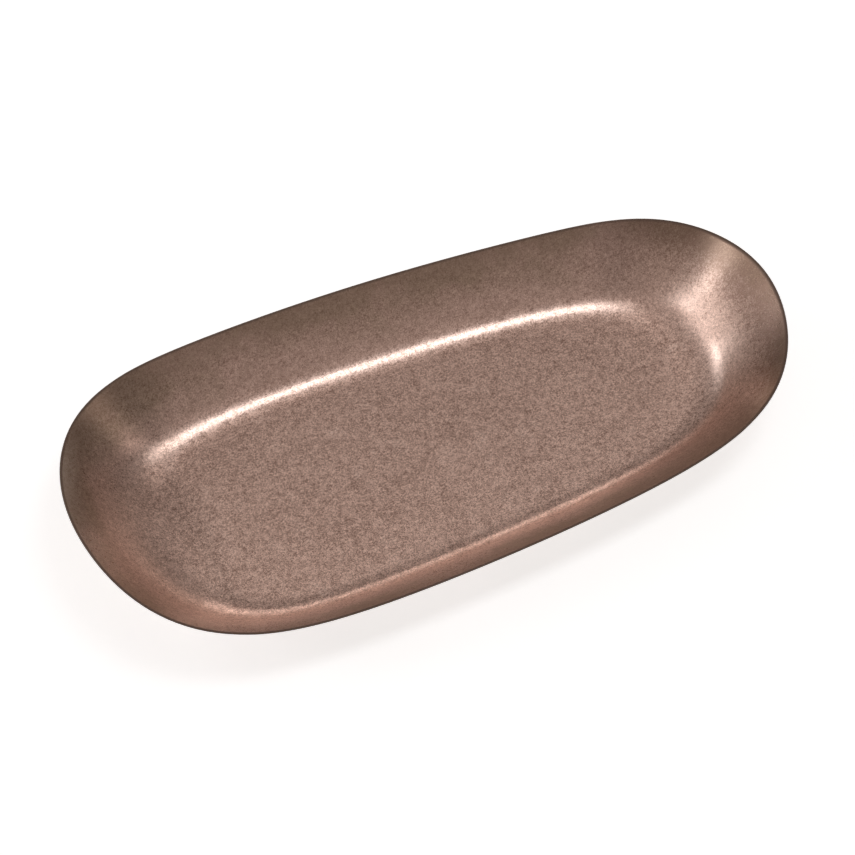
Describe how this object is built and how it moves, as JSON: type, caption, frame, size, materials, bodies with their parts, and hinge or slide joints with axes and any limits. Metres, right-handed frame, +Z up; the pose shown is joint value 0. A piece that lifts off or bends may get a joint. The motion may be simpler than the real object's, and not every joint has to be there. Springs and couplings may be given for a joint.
{
  "type": "copper tray",
  "caption": "Oblong copper serving tray: a flat floor, plain sloping walls that rise higher at the ends, and a bare cut rim.",
  "frame": {"origin": "centre of the tray's bounding box, on the flat underside it rests on", "axes": "+X along the length with the broader end at -X, +Y across the width, +Z up out of the dish"},
  "size_m": [0.36, 0.181, 0.0441],
  "materials": {
    "aged_copper": "satin"
  },
  "bodies": {
    "root": {"tray_body": "aged_copper"}
  },
  "joints": []
}
